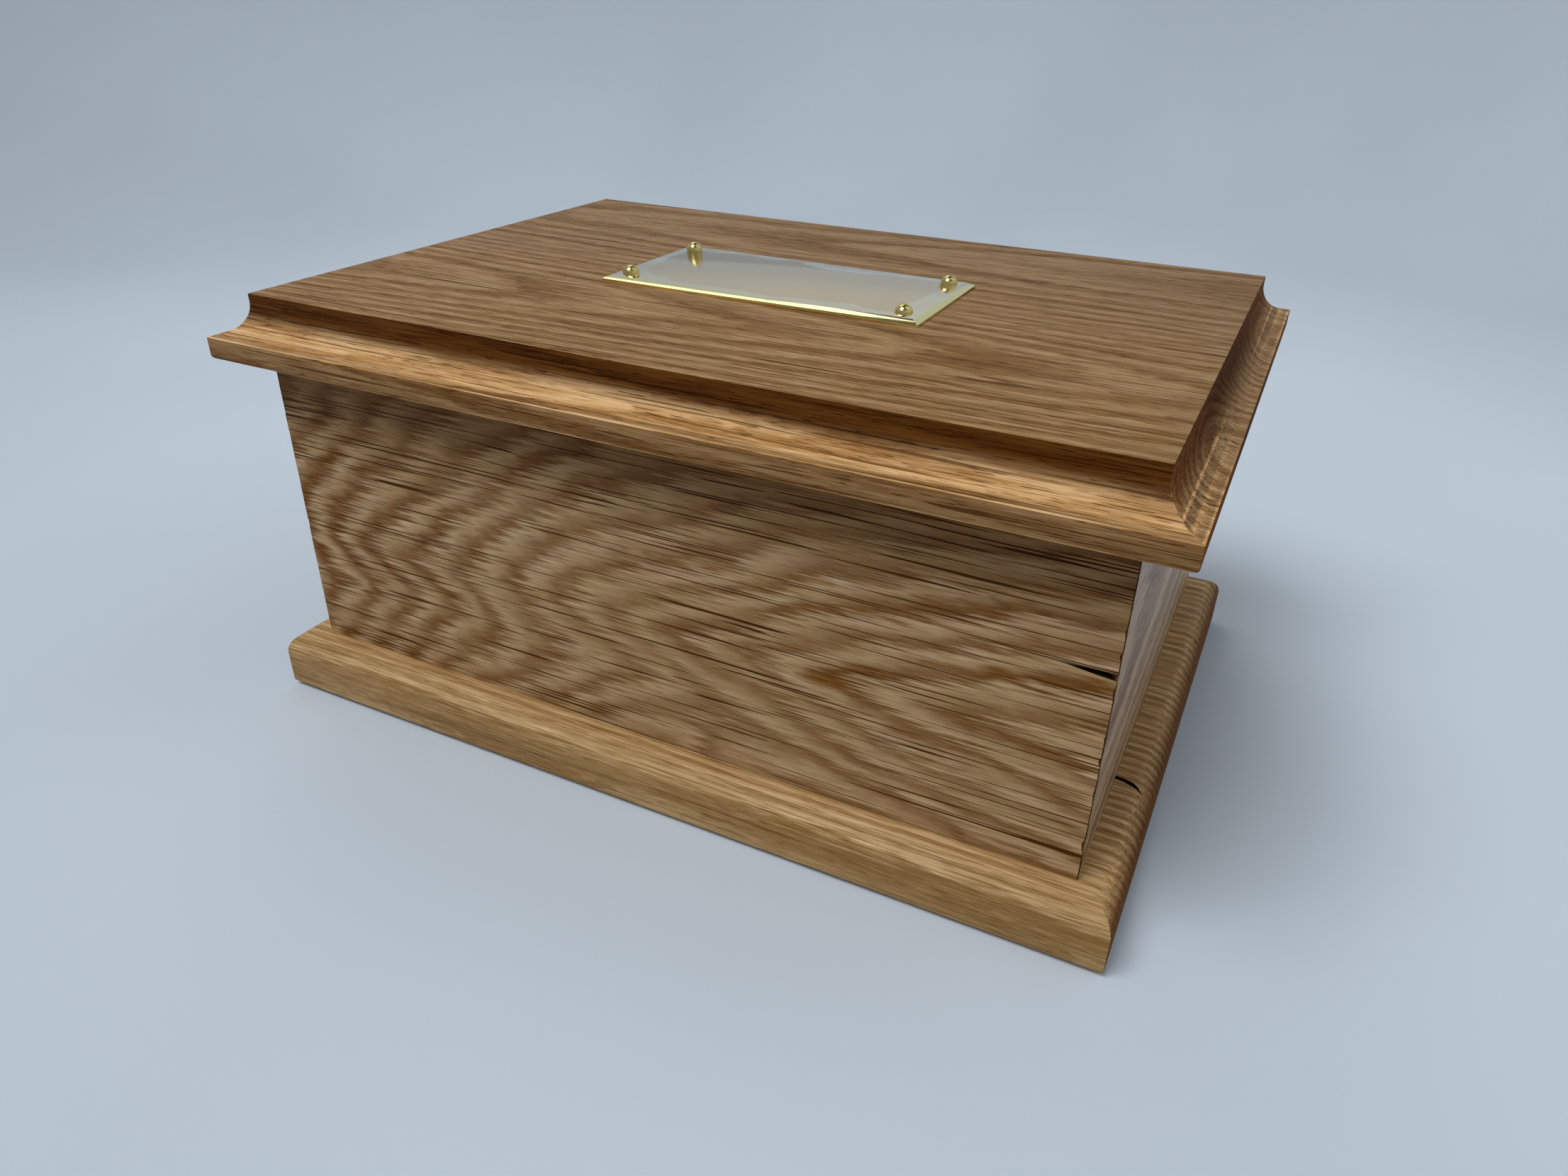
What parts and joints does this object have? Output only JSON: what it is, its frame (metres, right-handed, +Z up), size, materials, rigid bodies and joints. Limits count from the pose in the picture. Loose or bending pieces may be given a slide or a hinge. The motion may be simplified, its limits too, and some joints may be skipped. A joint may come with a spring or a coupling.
{
  "type": "memorial casket",
  "caption": "Solid oak box with mitred sides, a moulded lift-off lid, a moulded base and a bevelled brass name plate held by domed pins.",
  "frame": {"origin": "on the surface it stands on, under the middle of the casket", "axes": "+X along the long side towards the right end, -Y is the front, +Z up"},
  "size_m": [0.275, 0.1968, 0.1364],
  "materials": {
    "oak_lid": "oiled and waxed oak, satin, straight grain",
    "oak_body": "oiled and waxed oak, satin, plain-sawn figure",
    "oak_base": "oiled and waxed oak, satin, straight grain",
    "oak_inside": "bare planed oak",
    "plate_brass": "mirror-polished and lacquered brass",
    "pin_brass": "polished brass",
    "screw_brass": "turned brass, slightly dull",
    "baize": "dark green wool baize"
  },
  "bodies": {
    "casket": {"underside_baize": "baize", "base_front_stave": "oak_base", "base_back_stave": "oak_base", "front_board": "oak_body", "back_board": "oak_body", "left_end_board": "oak_body", "right_end_board": "oak_body", "base_screw_1": "screw_brass", "base_screw_2": "screw_brass", "base_screw_3": "screw_brass", "base_screw_4": "screw_brass", "base_screw_5": "screw_brass", "base_screw_6": "screw_brass", "base_screw_7": "screw_brass", "base_screw_8": "screw_brass", "corner_block_front_left": "oak_inside", "corner_block_front_right": "oak_inside", "corner_block_back_right": "oak_inside", "corner_block_back_left": "oak_inside"},
    "lid": {"lid_front_stave": "oak_lid", "lid_back_stave": "oak_lid", "lid_batten_front": "oak_inside", "lid_batten_back": "oak_inside", "lid_batten_left": "oak_inside", "lid_batten_right": "oak_inside", "batten_screw_1": "screw_brass", "batten_screw_2": "screw_brass", "batten_screw_3": "screw_brass", "batten_screw_4": "screw_brass", "batten_screw_5": "screw_brass", "batten_screw_6": "screw_brass", "batten_screw_7": "screw_brass", "batten_screw_8": "screw_brass", "name_plate": "plate_brass", "plate_pin_1": "pin_brass", "plate_pin_2": "pin_brass", "plate_pin_3": "pin_brass", "plate_pin_4": "pin_brass"}
  },
  "joints": [
    {"name": "lid_lift", "type": "slide", "parent": "casket", "child": "lid", "axis": [0, 0, 1], "range_m": [0, 0.12]}
  ]
}
